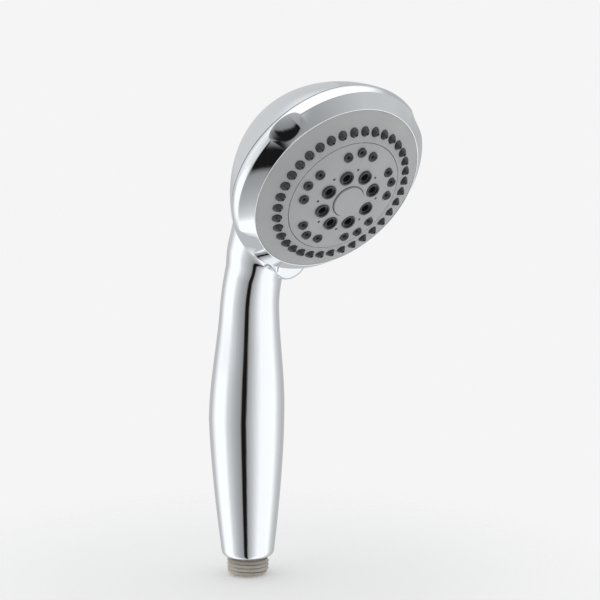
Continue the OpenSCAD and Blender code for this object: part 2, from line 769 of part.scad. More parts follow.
handle_shell();
back_shell();
inlet_nipple();
filter_screen();
flow_restrictor();
inlet_o_ring();
waterway_tube();
lower_o_ring();
upper_o_ring();
valve_body();
hub_o_ring();
valve_seal();
seal_spring();
body_screws();
centre_screw();
centre_washer();
detent_spring();
detent_plunger();
selector_ring();
face_plate();
inner_disc();
centre_cap();
outer_nozzle_mat();
inner_nozzle_mat();
massage_jets();
chamber_plate();
diverter_disc();
turbine_guide();
turbine();
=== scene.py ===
import json
import math

import bmesh
import bpy
import numpy as np
import openvdb
from mathutils import Matrix, Vector


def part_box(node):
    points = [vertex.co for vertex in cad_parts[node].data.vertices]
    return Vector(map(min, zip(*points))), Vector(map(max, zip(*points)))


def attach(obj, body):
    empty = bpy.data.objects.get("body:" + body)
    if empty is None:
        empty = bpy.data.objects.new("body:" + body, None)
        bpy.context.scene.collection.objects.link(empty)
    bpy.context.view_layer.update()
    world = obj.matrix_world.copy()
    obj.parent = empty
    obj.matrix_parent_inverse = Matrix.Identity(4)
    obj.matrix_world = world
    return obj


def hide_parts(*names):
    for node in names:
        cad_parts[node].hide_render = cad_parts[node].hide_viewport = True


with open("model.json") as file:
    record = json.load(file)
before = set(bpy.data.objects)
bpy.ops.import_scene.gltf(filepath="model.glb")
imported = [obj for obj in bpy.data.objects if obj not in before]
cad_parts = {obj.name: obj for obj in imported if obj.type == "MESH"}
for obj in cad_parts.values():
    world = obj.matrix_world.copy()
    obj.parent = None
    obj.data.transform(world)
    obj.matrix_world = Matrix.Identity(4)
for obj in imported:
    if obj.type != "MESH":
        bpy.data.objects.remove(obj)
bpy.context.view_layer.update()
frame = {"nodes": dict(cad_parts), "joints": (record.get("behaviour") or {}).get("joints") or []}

# ---------------------------------------------------------------------------
# Handle. A chrome-plated ABS moulding: a tapered grip that leans forward into
# the neck, with a saddle that spreads over the back dome and a round boss
# under the selector ring. It is hollow and slips over the waterway.
# ---------------------------------------------------------------------------
MM = 0.001
joints = {j["name"]: j for j in frame["joints"]}
turn = joints["selector_turn"]
spray_axis = Vector(turn["axis"])
head_up = spray_axis.cross(Vector((1, 0, 0)))
head = Matrix.Translation(turn["pos_m"]) @ Matrix(((1, 0, 0), head_up, spray_axis)).transposed().to_4x4()
head_mm = head.copy()
head_mm.translation = head.translation / MM
handle_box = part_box("handle_shell")

rim_z = handle_box[0][2] / MM
grip_z, waist_top, neck_start, bend = 81.9, 147.7, 137.1, 16.0
rim_r, grip_r, neck_r = 13.2, 19.3, 14.8
upper_lean, neck_slope = 0.065, 0.3404
grip_top_z, rim_round, boss_cap_h, boss_reach = 190, 3.0, -52, 80
handle_wall = 2.4
seat_z, seat_r, nipple_room_r = 22.2, 10.45, 9.0
boss_r, boss_v, boss_front = 8.5, -53.3, -22.05
saddle_depth = -49.9
saddle_foot_z = 168.0
saddle_r = 13.6


def hex_colour(code):
    """An sRGB hex colour as the linear values a shader takes."""
    parts = [int(code[i:i + 2], 16) / 255 for i in (1, 3, 5)]
    linear = [p / 12.92 if p <= 0.04045 else ((p + 0.055) / 1.055) ** 2.4 for p in parts]
    return (*linear, 1.0)


def put(tree, kind, feeds=None, **settings):
    """Adds a node with its settings; an input given a socket is linked, any other is set."""
    node = tree.nodes.new(kind)
    for name, value in settings.items():
        setattr(node, name, value)
    for name, value in (feeds or {}).items():
        socket = node.inputs[name]
        if isinstance(value, bpy.types.NodeSocket):
            tree.links.new(value, socket)
        else:
            socket.default_value = value
    return node


def new_finish(name):
    """An empty material with its Principled shader and its Object coordinates."""
    finish = bpy.data.materials.new(name)
    finish.use_nodes = True
    tree = finish.node_tree
    shader = tree.nodes["Principled BSDF"]
    place = put(tree, "ShaderNodeTexCoord").outputs["Object"]
    return finish, tree, shader, place


def add_piece(name, mesh, finish, body, slot, *nodes):
    """Links a finished mesh, gives it its finish, puts it on its body and hides the CAD parts it stands
    for.
    """
    piece = bpy.data.objects.new(name, mesh)
    bpy.context.scene.collection.objects.link(piece)
    mesh.materials.clear()
    mesh.materials.append(finish)
    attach(piece, body)
    if nodes:
        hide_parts(*nodes)
    return piece


def blend_min(a, b, k):
    """Smaller of two distances, rounded over a fillet of size k."""
    h = np.clip(0.5 + 0.5 * (b - a) / k, 0, 1)
    return b * (1 - h) + a * h - k * h * (1 - h)


def blend_max(a, b, k):
    return -blend_min(-a, -b, k)


def to_head(x, y, z):
    """Coordinates in the head's frame, in mm."""
    inverse = np.array(head_mm.inverted())
    return [inverse[i][0] * x + inverse[i][1] * y + inverse[i][2] * z + inverse[i][3] for i in range(3)]


def grip_radius(z):
    low = grip_r - (grip_r - rim_r) * np.clip((grip_z - z) / (grip_z - rim_z), 0, 1.2) ** 1.5
    rise = np.clip((z - grip_z) / (waist_top - grip_z), 0, 1)
    high = neck_r + (grip_r - neck_r) * (1 + np.cos(np.pi * rise)) / 2
    return np.where(z < grip_z, low, high)


def lean_forward(z):
    past = np.maximum(z - neck_start, 0)
    curve = np.where(past < bend, past ** 2 / (2 * bend), past - bend / 2)
    return upper_lean * np.maximum(z - grip_z, 0) + (neck_slope - upper_lean) * curve


def dome_distance(r, h, inset):
    """Distance outside the back dome, plus an inset: one long arc, then a rounder tip."""
    long_r, long_centre_r, long_centre_h, tip_r, tip_centre_h = 79.84, -24.63, 6.08, 40.7, -24.34
    tip = np.arctan2(tip_centre_h - h, r) > math.radians(51)
    long_arc = np.hypot(r - long_centre_r, h - long_centre_h) - long_r
    return np.where(tip, np.hypot(r, h - tip_centre_h) - tip_r, long_arc) + inset


def handle_distance(x, y, z):
    """Distance to the handle's outer skin, in mm, negative inside."""
    grip = (np.hypot(x, y + lean_forward(z)) - grip_radius(z)) * 0.97
    grip = blend_max(grip, z - grip_top_z, 6)
    hx, hy, hz = to_head(x, y, z)
    foot = np.array((0, -lean_forward(np.array(saddle_foot_z)), saddle_foot_z))
    top = np.array(head_mm @ Vector((0, 0, saddle_depth)))
    run = top - foot
    t = np.clip(((x - foot[0]) * run[0] + (y - foot[1]) * run[1] + (z - foot[2]) * run[2])
                / run.dot(run), 0, 1)
    saddle = np.sqrt((x - foot[0] - t * run[0]) ** 2 + (y - foot[1] - t * run[1]) ** 2
                     + (z - foot[2] - t * run[2]) ** 2) - saddle_r
    boss = np.hypot(hx, hy - boss_v) - boss_r
    boss = np.maximum(boss, boss_cap_h - hz)
    skin = blend_min(blend_min(grip, saddle, 5), boss, 5)
    skin = blend_max(skin, np.minimum(hz - boss_front, boss_reach - np.hypot(hx, hy)), 1.2)
    return blend_max(skin, rim_z - z, rim_round)


def shell_distance(x, y, z):
    """The handle as a hollow shell, open for the inlet nipple below and for the dome above."""
    skin = handle_distance(x, y, z)
    hx, hy, hz = to_head(x, y, z)
    radius = np.hypot(x, y)
    hollow = np.minimum(np.maximum(skin + handle_wall, seat_z + 4 - z),
                        np.maximum(radius - seat_r, z - seat_z))
    hollow = np.minimum(hollow, np.maximum(radius - nipple_room_r, z - seat_z - 8))
    return np.maximum(np.maximum(skin, -hollow), -dome_distance(np.hypot(hx, hy), hz, 1.0))


def skin_mesh(name, distance, low, high, step):
    """A mesh of the surface where a distance is zero, each point moved onto it exactly."""
    counts = [int(math.ceil((h - l) / step)) + 1 for l, h in zip(low, high)]
    axes = [l + step * np.arange(n) for l, n in zip(low, counts)]
    field = distance(*np.meshgrid(*axes, indexing="ij")).astype(np.float32)
    grid = openvdb.FloatGrid()
    grid.background = 3 * step
    grid.copyFromArray(np.clip(field, -3 * step, 3 * step))
    points, triangles, quads = grid.convertToPolygons(0.0, 0.0)
    points = points.astype(float) * step + np.array(low)
    for _ in range(3):
        e = 0.02
        x, y, z = points.T
        here = distance(x, y, z)
        slope = np.stack([distance(x + e, y, z) - here, distance(x, y + e, z) - here,
                          distance(x, y, z + e) - here], 1) / e
        steep = np.maximum((slope ** 2).sum(1), 0.3)
        points -= np.clip(here / steep, -0.4, 0.4)[:, None] * slope
    mesh = bpy.data.meshes.new(name)
    faces = [tuple(int(i) for i in face[::-1]) for face in list(quads) + list(triangles)]
    mesh.from_pydata([tuple(p * MM) for p in points], [], faces)
    mesh.shade_smooth()
    return mesh


# Bright chrome over ABS: a mirror with a faint orange peel from the moulding
# under it and fine wipe marks, which soften its reflections here and there.
chrome, tree, shader, place = new_finish("polished_chrome_plate")
peel = put(tree, "ShaderNodeTexNoise", {"Vector": place, "Scale": 90.0, "Detail": 1.0})
stretch = put(tree, "ShaderNodeMapping", {"Vector": place, "Scale": (1.0, 1.0, 0.12)})
wipes = put(tree, "ShaderNodeTexNoise", {"Vector": stretch.outputs["Vector"], "Scale": 450.0,
                                         "Detail": 3.0})
haze = put(tree, "ShaderNodeMapRange", {"Value": wipes.outputs["Fac"], "From Min": 0.35, "From Max": 0.75,
                                        "To Min": 0.03, "To Max": 0.075})
ripple = put(tree, "ShaderNodeBump", {"Height": peel.outputs["Fac"], "Strength": 0.12, "Distance": 0.0002})
shader.inputs["Base Color"].default_value = hex_colour("#eef0f2")
shader.inputs["Metallic"].default_value = 1.0
tree.links.new(haze.outputs["Result"], shader.inputs["Roughness"])
tree.links.new(ripple.outputs["Normal"], shader.inputs["Normal"])

handle_low = [c / MM - 2.5 for c in handle_box[0]]
handle_high = [c / MM + 2.5 for c in handle_box[1]]
handle_mesh = skin_mesh("handle_skin", shell_distance, handle_low, handle_high, 0.9)
add_piece("handle_skin", handle_mesh, chrome, "handle_body", "chrome", "handle_shell")

# ---------------------------------------------------------------------------
# Back dome. The chromed cover behind the spray face, turned about the spray
# axis, with three posts inside for the screws that clamp the valve body.
# ---------------------------------------------------------------------------


def turned_mesh(name, outline, steps):
    """A closed outline of (radius, height) in mm turned about the spray axis."""
    bm = bmesh.new()
    last = len(outline)
    rings = []
    for r, h in outline:
        if r < 1e-6:
            rings.append([bm.verts.new((0, 0, h * MM))])
        else:
            rings.append([bm.verts.new((r * MM * math.sin(2 * math.pi * k / steps),
                                        r * MM * math.cos(2 * math.pi * k / steps), h * MM))
                          for k in range(steps)])
    for i in range(last):
        a, b = rings[i], rings[(i + 1) % last]
        for k in range(steps):
            n = (k + 1) % steps
            if len(a) == 1 and len(b) == 1:
                continue
            if len(a) == 1:
                bm.faces.new((a[0], b[n], b[k]))
            elif len(b) == 1:
                bm.faces.new((a[k], a[n], b[0]))
            else:
                bm.faces.new((a[k], a[n], b[n], b[k]))
    bmesh.ops.recalc_face_normals(bm, faces=bm.faces)
    mesh = bpy.data.meshes.new(name)
    bm.to_mesh(mesh)
    bm.free()
    return mesh


def cut_away(mesh, cutters, keep_round=None):
    """The mesh less its cutters, with its edges eased by a small radius."""
    work = bpy.data.objects.new("cutting", mesh)
    bpy.context.scene.collection.objects.link(work)
    tools = []
    for cutter in cutters:
        tool = bpy.data.objects.new("cutter", cutter)
        bpy.context.scene.collection.objects.link(tool)
        cut = work.modifiers.new("cut", "BOOLEAN")
        cut.operation, cut.solver, cut.object = "DIFFERENCE", "EXACT", tool
        tools.append(tool)
    if keep_round:
        ease = work.modifiers.new("ease", "BEVEL")
        ease.width, ease.segments, ease.limit_method = keep_round * MM, 3, "ANGLE"
        ease.angle_limit = math.radians(20)
        ease.harden_normals = False
    bpy.context.view_layer.update()
    seen = work.evaluated_get(bpy.context.evaluated_depsgraph_get())
    result = bpy.data.meshes.new_from_object(seen)
    for item in tools + [work]:
        bpy.data.objects.remove(item)
    return result


def rod_mesh(name, start, end, radius, steps=64):
    """A plain round rod between two points, in metres."""
    bm = bmesh.new()
    along = Vector(end) - Vector(start)
    place_rod = (Matrix.Translation((Vector(start) + Vector(end)) / 2)
                 @ along.to_track_quat("Z", "Y").to_matrix().to_4x4())
    bmesh.ops.create_cone(bm, cap_ends=True, segments=steps, radius1=radius, radius2=radius,
                          depth=along.length, matrix=place_rod)
    mesh = bpy.data.meshes.new(name)
    bm.to_mesh(mesh)
    bm.free()
    return mesh


def on_row(radius, angle, height=0.0):
    """A point on a row of the head, clockwise from 12 o'clock, in mm."""
    a = math.radians(angle)
    return Vector((radius * math.sin(a), radius * math.cos(a), height))


dome_front = -22.05
dome_rim_r = 50.2
dome_wall = 2.4
long_arc_r, long_arc_from, long_arc_to = 79.84, 20.4, 51.0


def dome_outline(inset):
    """The dome's section from its rim to its tip, the arcs meeting without a corner."""
    first, last = math.radians(long_arc_from), math.radians(long_arc_to)
    tip_r = (dome_rim_r - long_arc_r * (math.cos(first) - math.cos(last)))
    tip_r /= math.cos(last)
    centre_r = dome_rim_r - long_arc_r * math.cos(first)
    centre_h = dome_front + 0.3 + long_arc_r * math.sin(first)
    tip_h = centre_h - (long_arc_r - tip_r) * math.sin(last)
    sweep = long_arc_to - long_arc_from - 0.1
    arc = [math.radians(long_arc_from + 0.1 + i * sweep / 24) for i in range(25)]
    tip = [math.radians(long_arc_to + (90 - long_arc_to) * i / 24) for i in range(1, 25)]
    big, small = long_arc_r - inset, tip_r - inset
    line = [(centre_r + big * math.cos(a), centre_h - big * math.sin(a)) for a in arc]
    line += [(small * math.cos(a), tip_h - small * math.sin(a)) for a in tip[:-1]]
    return line + [(0.0, tip_h - small)]


outer = dome_outline(0)
inner = [p for p in dome_outline(dome_wall) if p[1] < dome_front]
outline = [(dome_rim_r - dome_wall, dome_front), (dome_rim_r - 0.5, dome_front),
           (dome_rim_r - 0.14, dome_front - 0.13)]
outline += [p for p in outer if p[1] < dome_front - 0.2]
outline += inner[::-1]
dome_mesh = turned_mesh("dome_skin", outline, 192)
post_row, post_r, post_len, post_mid_h = 0.92 * 43.7, 3.4, 7.2, -28.7
posts = bmesh.new()
posts.from_mesh(dome_mesh)
for k in range(3):
    centre = on_row(post_row, 120 * k, post_mid_h)
    bmesh.ops.create_cone(posts, cap_ends=True, segments=32, radius1=post_r * MM, radius2=post_r * MM,
                          depth=post_len * MM, matrix=Matrix.Translation(centre * MM))
posts.to_mesh(dome_mesh)
posts.free()
dome_mesh.transform(head)
dome_mesh.shade_smooth()
dome_mesh.set_sharp_from_angle(angle=math.radians(40))
add_piece("dome_skin", dome_mesh, chrome, "handle_body", "chrome", "back_shell")

# ---------------------------------------------------------------------------
# Selector ring. Chromed ABS: a slanted front face from the plate's edge out to
# a ridge, a narrow band behind it, and four scallops for finger and thumb.
# ---------------------------------------------------------------------------
plate_edge_r, plate_edge_h = 43.7, -10.55
ridge_r, ridge_h, ring_back_h = 49.9, -15.8, -21.75
scallop_r, scallop_depth, scallop_tilt = 40.0, 2.0, 30.0
edge_round = 0.22
cutter_reach = 0.03


band_mid = (ridge_h + ring_back_h) / 2
half_band = (ridge_h - ring_back_h) / 2
band = [(ridge_r + 0.15 - 0.15 * t + 0.7 * math.cos(math.pi * t / 2), band_mid + t * half_band)
        for t in [0.9 - 0.15 * i for i in range(13)]]
ring_outline = [(plate_edge_r, plate_edge_h + 0.1), (plate_edge_r + 0.12, plate_edge_h + 0.2),
                (plate_edge_r + 0.4, plate_edge_h + 0.2), (plate_edge_r + 0.62, plate_edge_h)]
ring_outline += [(ridge_r - 0.6, ridge_h + 0.45), (ridge_r - 0.2, ridge_h + 0.18),
                 (ridge_r + 0.02, ridge_h - 0.05)]
ring_outline += band
step_r, step_h = 44.6, -17.2
ring_outline += [(ridge_r + 0.2, ring_back_h), (step_r, ring_back_h), (step_r, step_h),
                 (plate_edge_r, step_h)]
ring_mesh = turned_mesh("ring_skin", ring_outline, 240)
cutters = []
for angle in (50, 130, 230, 310):
    centre = on_row(ridge_r - scallop_depth, angle, ridge_h) * MM
    across = (Matrix.Rotation(math.radians(-angle), 4, "Z")
              @ Matrix.Rotation(math.radians(scallop_tilt), 4, "X"))
    axis = across @ Vector((0, 0, 1))
    middle = centre + across.to_3x3() @ Vector((0, scallop_r * MM, 0))
    reach = axis * cutter_reach
    cutters.append(rod_mesh("scallop", middle - reach, middle + reach, scallop_r * MM, 360))
ring_mesh = cut_away(ring_mesh, cutters, edge_round)
ring_mesh.transform(head)
ring_mesh.shade_smooth()
ring_mesh.set_sharp_from_angle(angle=math.radians(35))
add_piece("ring_skin", ring_mesh, chrome, "spray_face", "chrome", "selector_ring")

# ---------------------------------------------------------------------------
# Spray plates and cap. The outer plate, the inner disc and the cap over the
# centre screw are satin grey ABS; each one snaps or screws into the ring.
# ---------------------------------------------------------------------------
# Satin ABS moulded in a spark-eroded tool: an even grey with a fine grain that
# breaks up its highlights. The real grain is 0.05 mm; 0.3 mm lets it show.
satin, tree, shader, place = new_finish("satin_grey_abs")
grain = put(tree, "ShaderNodeTexNoise", {"Vector": place, "Scale": 3300.0, "Detail": 2.0})
cloud = put(tree, "ShaderNodeTexNoise", {"Vector": place, "Scale": 70.0, "Detail": 2.0})
tint = put(tree, "ShaderNodeMix", {"Factor": cloud.outputs["Fac"], "A": hex_colour("#b5b6b6"),
                                   "B": hex_colour("#c5c5c4")}, data_type="RGBA")
grip_bump = put(tree, "ShaderNodeBump", {"Height": grain.outputs["Fac"], "Strength": 0.25,
                                         "Distance": 0.00002})
wear = put(tree, "ShaderNodeMapRange", {"Value": cloud.outputs["Fac"], "To Min": 0.36, "To Max": 0.48})
tree.links.new(tint.outputs["Result"], shader.inputs["Base Color"])
tree.links.new(wear.outputs["Result"], shader.inputs["Roughness"])
tree.links.new(grip_bump.outputs["Normal"], shader.inputs["Normal"])
for name in ("face_plate", "inner_disc", "centre_cap"):
    cad = frame["nodes"][name]
    cad.data.materials.clear()
    cad.data.materials.append(satin)

# ---------------------------------------------------------------------------
# Nozzles. Dark thermoplastic rubber that pokes through the plates, so that
# scale can be rubbed off: one row of cones, groups of three open rims, and
# eight stepped massage jets.
# ---------------------------------------------------------------------------
# Thermoplastic rubber: dark grey, dull, with a soft sheen and a bloom of paler
# dust, from a textured mould. Its 0.4 mm mottle is drawn a little coarse.
rubber, tree, shader, place = new_finish("dark_grey_tpe_rubber")
bloom = put(tree, "ShaderNodeTexNoise", {"Vector": place, "Scale": 380.0, "Detail": 3.0})
tint = put(tree, "ShaderNodeMix", {"Factor": bloom.outputs["Fac"], "A": hex_colour("#303234"),
                                   "B": hex_colour("#4a4d4f")}, data_type="RGBA")
mottle = put(tree, "ShaderNodeTexNoise", {"Vector": place, "Scale": 2500.0, "Detail": 2.0})
skin_bump = put(tree, "ShaderNodeBump", {"Height": mottle.outputs["Fac"], "Strength": 0.3,
                                         "Distance": 0.00003})
dull = put(tree, "ShaderNodeMapRange", {"Value": bloom.outputs["Fac"], "To Min": 0.26, "To Max": 0.42})
tree.links.new(tint.outputs["Result"], shader.inputs["Base Color"])
tree.links.new(dull.outputs["Result"], shader.inputs["Roughness"])
tree.links.new(skin_bump.outputs["Normal"], shader.inputs["Normal"])

outer_row_r, group_row_r, group_side_r, jet_row_r = 34.52, 24.91, 23.64, 13.44
face_r, face_top, plate_t, mat_t = 100.07, -0.5, 2.2, 1.5
outer_count, group_count, jet_count, group_side_angle = 36, 5, 8, 17.0


def face_height(radius, depth=0.0):
    """Height of the domed face, or of the layer a given depth below it."""
    return face_top - face_r + math.sqrt((face_r - depth) ** 2 - radius ** 2)


row_tree = bpy.data.node_groups.new("nozzles_on_a_row", "GeometryNodeTree")
for label, kind in (("Nozzle", "NodeSocketGeometry"), ("Count", "NodeSocketInt"),
                    ("Row radius", "NodeSocketFloat"), ("Height", "NodeSocketFloat"),
                    ("First angle", "NodeSocketFloat"),
                    ("Rubber", "NodeSocketMaterial")):
    row_tree.interface.new_socket(label, in_out="INPUT", socket_type=kind)
row_tree.interface.new_socket("Geometry", in_out="OUTPUT", socket_type="NodeSocketGeometry")
given = put(row_tree, "NodeGroupInput").outputs
circle = put(row_tree, "GeometryNodeMeshCircle", {"Vertices": given["Count"],
                                                  "Radius": given["Row radius"]})
rise = put(row_tree, "ShaderNodeCombineXYZ", {"Z": given["Height"]})
swing = put(row_tree, "ShaderNodeCombineXYZ", {"Z": given["First angle"]})
seats = put(row_tree, "GeometryNodeTransform", {"Geometry": circle.outputs["Mesh"],
                                                "Translation": rise.outputs[0],
                                                "Rotation": swing.outputs[0]})
placed = put(row_tree, "GeometryNodeInstanceOnPoints", {"Points": seats.outputs[0],
                                                        "Instance": given["Nozzle"]})
real = put(row_tree, "GeometryNodeRealizeInstances", {"Geometry": placed.outputs[0]})
painted = put(row_tree, "GeometryNodeSetMaterial", {"Geometry": real.outputs[0],
                                                    "Material": given["Rubber"]})
put(row_tree, "NodeGroupOutput", {"Geometry": painted.outputs[0]})


def nozzle_row(outline, count, radius, height, clock_angle, steps=24):
    """One row of turned nozzles on the face, as a plain mesh in the head's frame."""
    work = bpy.data.objects.new("nozzle", turned_mesh("nozzle", outline, steps))
    bpy.context.scene.collection.objects.link(work)
    rows = work.modifiers.new("row", "NODES")
    rows.node_group = row_tree
    values = {"Count": count, "Row radius": radius * MM, "Height": height * MM,
              "First angle": math.radians(90 - clock_angle), "Rubber": rubber}
    for item in row_tree.interface.items_tree:
        if item.in_out == "INPUT" and item.name in values:
            rows[item.identifier] = values[item.name]
    bpy.context.view_layer.update()
    mesh = bpy.data.meshes.new_from_object(work.evaluated_get(bpy.context.evaluated_depsgraph_get()))
    bpy.data.objects.remove(work)
    return mesh


def joined(name, meshes):
    """Several meshes in one, smooth but for their sharp edges."""
    bm = bmesh.new()
    for mesh in meshes:
        bm.from_mesh(mesh)
    result = bpy.data.meshes.new(name)
    bm.to_mesh(result)
    bm.free()
    result.shade_smooth()
    result.set_sharp_from_angle(angle=math.radians(38))
    return result


def mat_layer(inner_r, outer_r):
    """The thin rubber sheet behind the plate that the nozzles grow from."""
    radii = [inner_r + (outer_r - inner_r) * i / 10 for i in range(11)]
    front = [(r, face_height(r, plate_t + 0.02)) for r in radii]
    return turned_mesh("sheet", front + [(r, face_height(r, plate_t + mat_t)) for r in radii[::-1]], 96)


root = -plate_t - 0.8
cone = [(0.5, root), (2.2, root), (2.2, -0.05), (2.14, 0.12), (2.02, 0.36), (1.02, 2.02), (0.9, 2.16),
        (0.76, 2.2), (0.56, 2.18), (0.5, 2.08)]
cup = [(0.65, root), (2.3, root), (2.3, 0.72), (2.24, 0.84), (2.1, 0.9), (1.86, 0.9), (1.72, 0.82),
       (1.1, 0.25), (0.72, 0.05), (0.65, -0.1)]
jet_top = face_height(jet_row_r) + 0.75
jet_root = face_height(jet_row_r + 4.05, plate_t) - 0.8 - jet_top
stepped = [(1.99, jet_root), (4.05, jet_root), (4.05, jet_root + 0.8), (3.55, jet_root + 0.8),
           (3.55, -0.22), (3.48, -0.07), (3.32, 0.0), (2.9, 0.0), (2.74, -0.08), (2.66, -0.25),
           (2.66, -1.0), (2.12, -1.0), (2.02, -1.06), (1.99, -1.2)]
outer_rows = [mat_layer(30.5, plate_edge_r - 1.4),
              nozzle_row(cone, outer_count, outer_row_r, face_height(outer_row_r), 0)]
group_rows = [mat_layer(18.9, 28.4), nozzle_row(cup, group_count, group_row_r, face_height(group_row_r), 0)]
for side in (-1, 1):
    group_rows.append(nozzle_row(cup, group_count, group_side_r, face_height(group_side_r),
                                 side * group_side_angle))
jet_rows = [nozzle_row(stepped, jet_count, jet_row_r, jet_top, 180 / jet_count, 40)]
for name, meshes, stands_for in (("cone_nozzles", outer_rows, "outer_nozzle_mat"),
                                 ("cup_nozzles", group_rows, "inner_nozzle_mat"),
                                 ("stepped_jets", jet_rows, "massage_jets")):
    nozzles = joined(name, meshes)
    nozzles.transform(head)
    add_piece(name, nozzles, rubber, "spray_face", "dark_rubber", stands_for)
# A thin rubber seal round the cap, and a thin dark sheet in the parting line behind the ring: painted shade
# for the shadow in that gap.
seal_section = [(8.02, -1.6), (8.36, -1.6), (8.36, -0.78), (8.19, -0.7), (8.02, -0.76)]
cap_seal = turned_mesh("cap_seal", seal_section, 96)
cap_seal.transform(head)
cap_seal.shade_smooth()
add_piece("cap_seal", cap_seal, rubber, "spray_face", "dark_rubber")
# Painted shade: a thin sheet in the dark rubber finish, laid in the parting line between dome and ring,
# stands in for the shadow in the gap.
gap_shade_sheet = turned_mesh("painted_gap_shade", [(45.2, -22.02), (49.85, -22.02), (49.85, -21.82), (45.2, -21.82)], 192)
gap_shade_sheet.transform(head)
add_piece("painted_gap_shade", gap_shade_sheet, rubber, "handle_body", "dark_rubber")
for name in ("inlet_o_ring", "lower_o_ring", "upper_o_ring", "hub_o_ring", "valve_seal"):
    cad = frame["nodes"][name]
    cad.data.materials.clear()
    cad.data.materials.append(rubber)

# ---------------------------------------------------------------------------
# Inlet. A warm grey moulded nipple with a right-hand hose thread, open at its
# end for the hose washer. It is screwed and sealed into the handle's foot.
# ---------------------------------------------------------------------------
# Moulded acetal: warm grey, waxy, with faint flow marks across its thread.
acetal, tree, shader, place = new_finish("warm_grey_acetal")
flow = put(tree, "ShaderNodeTexNoise", {"Vector": place, "Scale": 220.0, "Detail": 4.0})
tint = put(tree, "ShaderNodeMix", {"Factor": flow.outputs["Fac"], "A": hex_colour("#aea59a"),
                                   "B": hex_colour("#cbc4ba")}, data_type="RGBA")
pits = put(tree, "ShaderNodeBump", {"Height": flow.outputs["Fac"], "Strength": 0.15, "Distance": 0.0001})
shader.inputs["Roughness"].default_value = 0.36
tree.links.new(tint.outputs["Result"], shader.inputs["Base Color"])
tree.links.new(pits.outputs["Normal"], shader.inputs["Normal"])

thread_root_r, thread_depth, thread_pitch, thread_turns, thread_foot = 9.3, 1.16, 1.814, 4.35, 0.95
thread_tree = bpy.data.node_groups.new("hose_thread", "GeometryNodeTree")
for label, kind in (("Turns", "NodeSocketFloat"), ("Root radius", "NodeSocketFloat"),
                    ("Pitch", "NodeSocketFloat"), ("Depth", "NodeSocketFloat"),
                    ("Foot", "NodeSocketFloat"), ("Plastic", "NodeSocketMaterial")):
    thread_tree.interface.new_socket(label, in_out="INPUT", socket_type=kind)
thread_tree.interface.new_socket("Geometry", in_out="OUTPUT", socket_type="NodeSocketGeometry")
given = put(thread_tree, "NodeGroupInput").outputs
climb = put(thread_tree, "ShaderNodeMath", {0: given["Turns"], 1: given["Pitch"]}, operation="MULTIPLY")
helix = put(thread_tree, "GeometryNodeCurveSpiral", {"Resolution": 72, "Rotations": given["Turns"],
                                                     "Start Radius": given["Root radius"],
                                                     "End Radius": given["Root radius"],
                                                     "Height": climb.outputs[0], "Reverse": False})
wide = put(thread_tree, "ShaderNodeMath", {0: given["Pitch"], 1: 0.92}, operation="MULTIPLY")
crest = put(thread_tree, "ShaderNodeMath", {0: given["Pitch"], 1: 0.26}, operation="MULTIPLY")
double = put(thread_tree, "ShaderNodeMath", {0: given["Depth"], 1: 1.15}, operation="MULTIPLY")
tooth = put(thread_tree, "GeometryNodeCurvePrimitiveQuadrilateral",
            {"Height": double.outputs[0], "Bottom Width": wide.outputs[0], "Top Width": crest.outputs[0],
             "Offset": 0.0}, mode="TRAPEZOID")
upright = put(thread_tree, "GeometryNodeTransform", {"Geometry": tooth.outputs[0],
                                                     "Rotation": (0, 0, math.radians(-90))})
along = put(thread_tree, "GeometryNodeSplineParameter")
run_in = put(thread_tree, "ShaderNodeMath", {0: along.outputs["Factor"], 1: 9.0}, operation="MULTIPLY")
from_end = put(thread_tree, "ShaderNodeMath", {0: 1.0, 1: along.outputs["Factor"]}, operation="SUBTRACT")
run_out = put(thread_tree, "ShaderNodeMath", {0: from_end.outputs[0], 1: 9.0}, operation="MULTIPLY")
ends = put(thread_tree, "ShaderNodeMath", {0: run_in.outputs[0], 1: run_out.outputs[0]},
           operation="MINIMUM")
size = put(thread_tree, "ShaderNodeClamp", {"Value": ends.outputs[0], "Min": 0.05, "Max": 1.0})
ridge = put(thread_tree, "GeometryNodeCurveToMesh", {"Curve": helix.outputs[0],
                                                     "Profile Curve": upright.outputs[0],
                                                     "Scale": size.outputs[0], "Fill Caps": True})
foot = put(thread_tree, "ShaderNodeCombineXYZ", {"Z": given["Foot"]})
lifted = put(thread_tree, "GeometryNodeTransform", {"Geometry": ridge.outputs[0],
                                                    "Translation": foot.outputs[0]})
made = put(thread_tree, "GeometryNodeSetMaterial", {"Geometry": lifted.outputs[0],
                                                    "Material": given["Plastic"]})
put(thread_tree, "NodeGroupOutput", {"Geometry": made.outputs[0]})
thread = bpy.data.objects.new("thread", bpy.data.meshes.new("thread"))
bpy.context.scene.collection.objects.link(thread)
cutting = thread.modifiers.new("helix", "NODES")
cutting.node_group = thread_tree
values = {"Turns": thread_turns, "Root radius": (thread_root_r + 0.48) * MM, "Pitch": thread_pitch * MM,
          "Depth": thread_depth * MM, "Foot": thread_foot * MM, "Plastic": acetal}
for item in thread_tree.interface.items_tree:
    if item.in_out == "INPUT" and item.name in values:
        cutting[item.identifier] = values[item.name]
bpy.context.view_layer.update()
helix_mesh = bpy.data.meshes.new_from_object(thread.evaluated_get(bpy.context.evaluated_depsgraph_get()))
bpy.data.objects.remove(thread)
nipple = [(8.12, 0), (8.9, 0), (9.3, 0.5), (9.3, 9.3), (9.97, 9.3), (9.97, 17.2), (8.15, 17.2),
          (8.15, 19.2), (9.97, 19.2), (9.97, 22.2), (8.9, 22.2), (8.9, 29.2), (6.45, 29.2),
          (6.45, 18.7), (6.5, 18.7), (6.5, 2.6), (8.12, 2.6)]
inlet_mesh = joined("threaded_inlet", [turned_mesh("nipple", nipple, 96), helix_mesh])
add_piece("threaded_inlet", inlet_mesh, acetal, "handle_body", "inlet_grey", "inlet_nipple")

